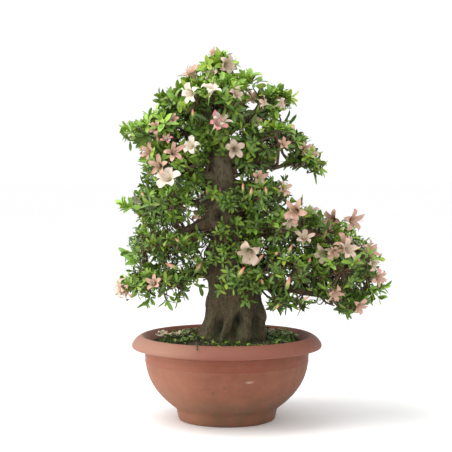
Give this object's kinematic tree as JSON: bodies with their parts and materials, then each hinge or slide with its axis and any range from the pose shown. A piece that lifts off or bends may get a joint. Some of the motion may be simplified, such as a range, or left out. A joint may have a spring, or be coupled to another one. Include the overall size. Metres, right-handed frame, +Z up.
{
  "type": "bonsai tree in a pot",
  "caption": "Flowering azalea bonsai with a thick tapering trunk and layered leaf pads, in a round clay bowl with a rolled rim, soil and moss.",
  "frame": {"origin": "centre of the bowl's underside, on the ground", "axes": "+Z up along the bowl's axis, -Y out of the tree's front, +X towards its longest low branch"},
  "size_m": [0.5157, 0.3681, 0.7056],
  "materials": {
    "clay": "matte",
    "soil": "matte",
    "plastic_mesh": "matte",
    "moss": "matte",
    "bark": "matte",
    "dead_wood": "matte",
    "leaf": "satin",
    "petal_white": "satin",
    "petal_pink": "satin",
    "bud": "satin",
    "withered_petal": "matte"
  },
  "bodies": {
    "root": {"branch_back_high": "bark", "branch_back_low": "bark", "branch_left_crown": "bark", "branch_left_low": "bark", "branch_left_lower_middle": "bark", "branch_left_middle": "bark", "branch_left_shoulder": "bark", "branch_left_upper_middle": "bark", "branch_right_crown": "bark", "branch_right_low_front": "bark", "branch_right_low_rear": "bark", "branch_right_lower_middle": "bark", "branch_right_middle": "bark", "branch_right_shoulder": "bark", "bud_left": "bud", "bud_middle": "bud", "bud_right_low": "bud", "clover": "leaf", "dead_twig": "dead_wood", "drainage_mesh": "plastic_mesh", "fallen_flower": "withered_petal", "flower_apex": "petal_white", "flower_crown_front": "petal_pink", "flower_crown_left": "petal_white", "flower_crown_trumpet": "petal_pink", "flower_far_right": "petal_pink", "flower_front_white": "petal_white", "flower_left_cream": "petal_white", "flower_left_pink": "petal_pink", "flower_left_tip": "petal_pink", "flower_left_white": "petal_white", "flower_middle_white": "petal_white", "flower_right_low": "petal_pink", "flower_right_pink": "petal_pink", "foliage_apex": "leaf", "foliage_back_crown": "leaf", "foliage_back_low": "leaf", "foliage_back_middle": "leaf", "foliage_front_crown": "leaf", "foliage_left_crown": "leaf", "foliage_left_low": "leaf", "foliage_left_lower_middle": "leaf", "foliage_left_middle": "leaf", "foliage_left_shoulder": "leaf", "foliage_left_upper_middle": "leaf", "foliage_right_crown": "leaf", "foliage_right_droop_far": "leaf", "foliage_right_droop_near": "leaf", "foliage_right_low_far": "leaf", "foliage_right_low_near": "leaf", "foliage_right_lower_middle": "leaf", "foliage_right_middle": "leaf", "foliage_right_shoulder": "leaf", "foliage_right_tip": "leaf", "moss_front": "moss", "moss_left": "moss", "moss_right": "moss", "pot": "clay", "soil": "soil", "trunk": "bark"}
  },
  "joints": []
}
